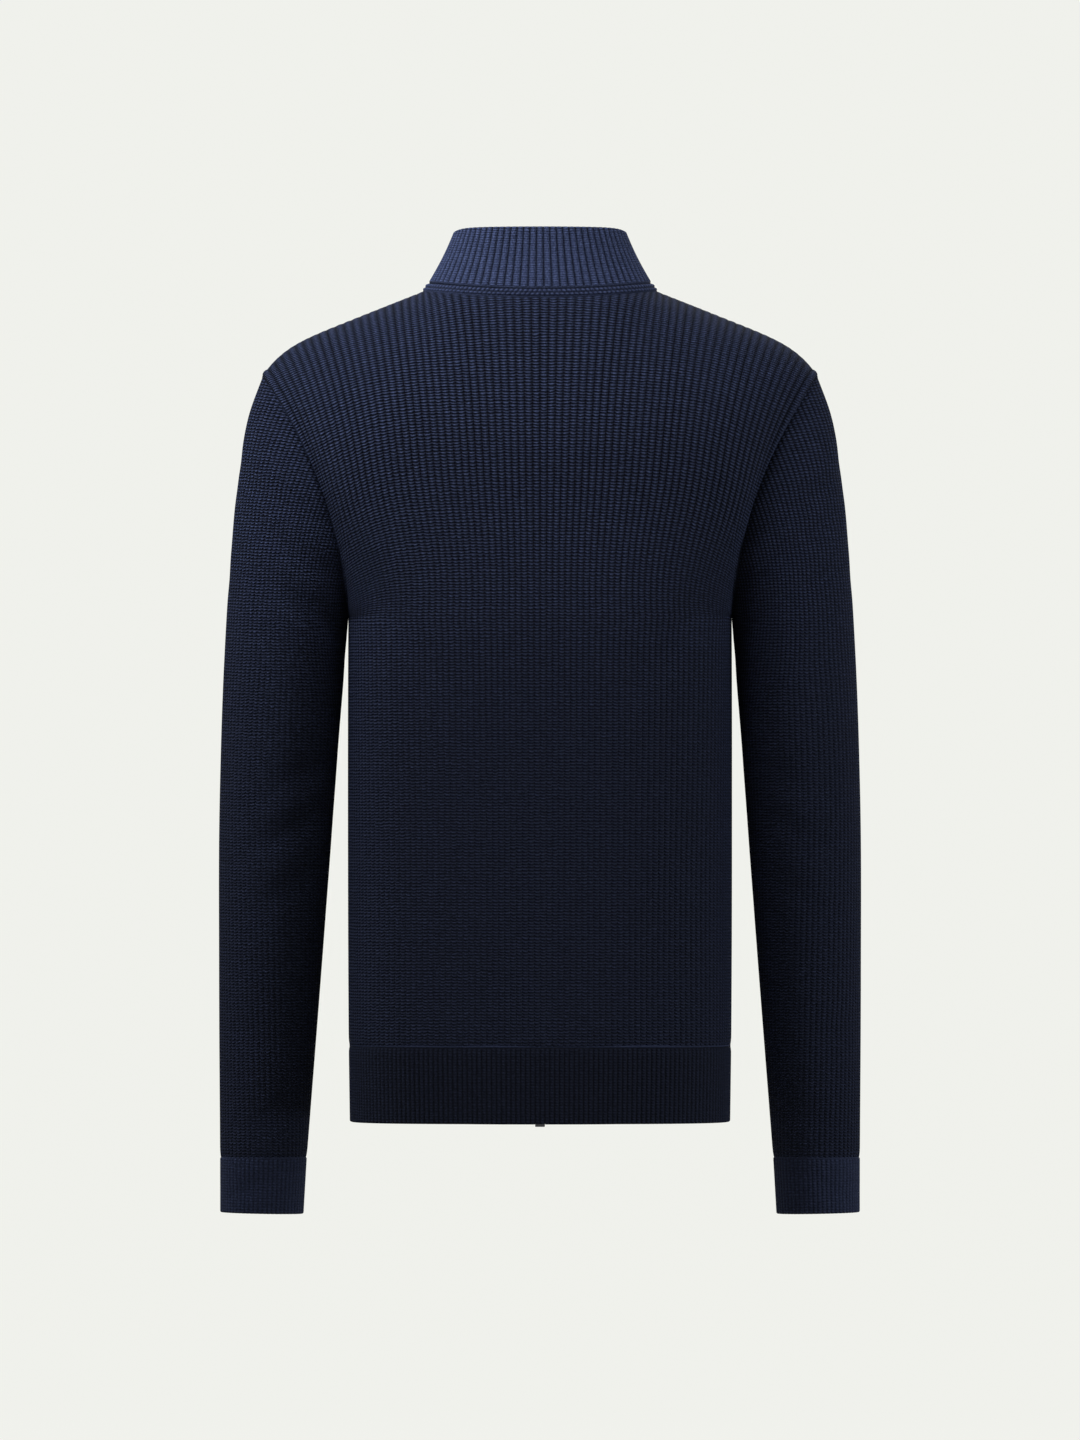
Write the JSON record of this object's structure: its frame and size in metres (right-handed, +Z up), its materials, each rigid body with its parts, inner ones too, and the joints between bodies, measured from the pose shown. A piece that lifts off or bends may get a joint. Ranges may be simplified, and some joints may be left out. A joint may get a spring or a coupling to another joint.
{
  "type": "zip-up cardigan",
  "caption": "Hollow rib-knit zip-up cardigan with a stand collar, set-in long sleeves, ribbed cuffs and hem band, filled out as if worn.",
  "frame": {"origin": "middle of the neck opening, level with the points where the shoulder seams meet the neck", "axes": "+Z up, the front with the zip faces -Y, +X towards the wearer's left"},
  "size_m": [0.5396, 0.232, 0.8286],
  "materials": {
    "navy_knit": "matte half-cardigan knit in navy wool-cotton yarn",
    "navy_rib": "matte rib knit in navy wool-cotton yarn",
    "zip_tape": "woven polyester zip tape in dark navy",
    "zip_metal": "dark gunmetal plating, satin"
  },
  "bodies": {
    "garment": {"back": "navy_knit", "front_left": "navy_knit", "front_right": "navy_knit", "sleeve_left": "navy_knit", "sleeve_right": "navy_knit", "collar": "navy_rib", "neck_trim": "navy_rib", "hem_back": "navy_rib", "hem_front_left": "navy_rib", "hem_front_right": "navy_rib", "cuff_left": "navy_rib", "cuff_right": "navy_rib", "zip_tape_left": "zip_tape", "zip_tape_right": "zip_tape", "zip_chain_left": "zip_metal", "zip_chain_right": "zip_metal", "zip_box": "zip_metal", "zip_slider": "zip_metal", "zip_stop_left": "zip_metal", "zip_stop_right": "zip_metal"},
    "zip_pull": {"zip_pull": "zip_metal"}
  },
  "joints": [
    {"name": "zip_pull_swing", "type": "hinge", "parent": "garment", "child": "zip_pull", "pos_m": [0, -0.06986, -0.02079], "axis": [-1, 0, 0], "range_deg": [0, 165]}
  ]
}
